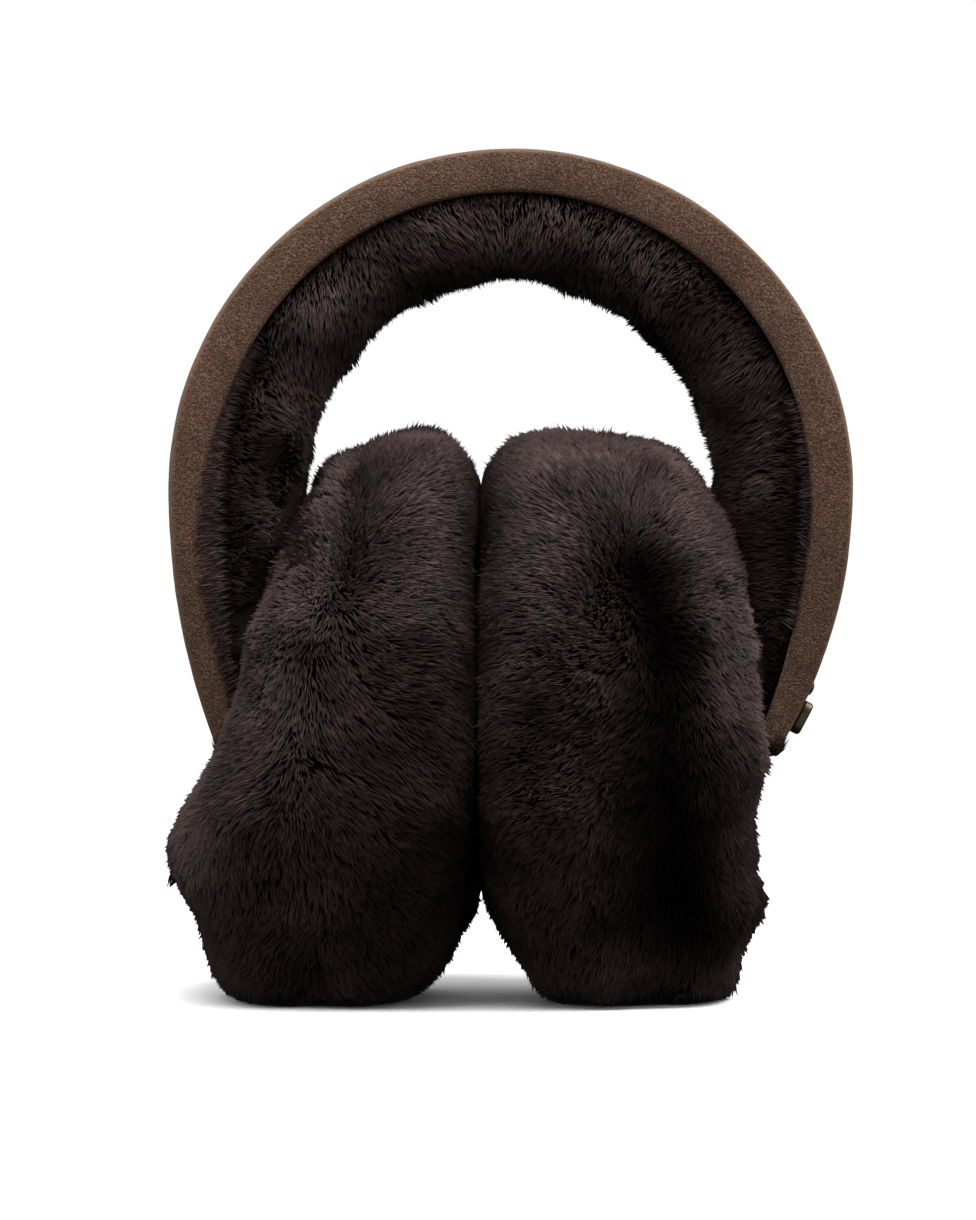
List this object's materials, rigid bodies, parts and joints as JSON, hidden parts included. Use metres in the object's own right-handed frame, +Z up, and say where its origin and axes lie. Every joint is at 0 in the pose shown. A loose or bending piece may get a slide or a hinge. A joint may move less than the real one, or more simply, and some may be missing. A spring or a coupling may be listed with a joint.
{
  "type": "fur earmuffs",
  "caption": "Sheepskin earmuffs: a suede headband arch lined with deep fur, ending in thick fur ear cups that close on each other and stand on their pile.",
  "frame": {"origin": "centre of the footprint on the surface that the earmuffs stand on, under the middle of the headband", "axes": "+Z up to the crown of the headband, +X from the left cup to the right cup as the viewer sees them, +Y away from the viewer, along the headband's width"},
  "size_m": [0.1608, 0.1228, 0.197],
  "materials": {
    "suede": "brushed brown suede, napped and matt, with lighter flecks",
    "fur": "near-black brown sheepskin, deep straight pile with a soft sheen",
    "metal": "dark antique, satin"
  },
  "bodies": {
    "root": {"headband_cover": "suede", "headband_lining": "fur", "ear_pad_left": "fur", "cup_cover_left": "fur", "ear_pad_right": "fur", "cup_cover_right": "fur", "side_plate": "metal", "side_rivet": "metal"}
  },
  "joints": []
}
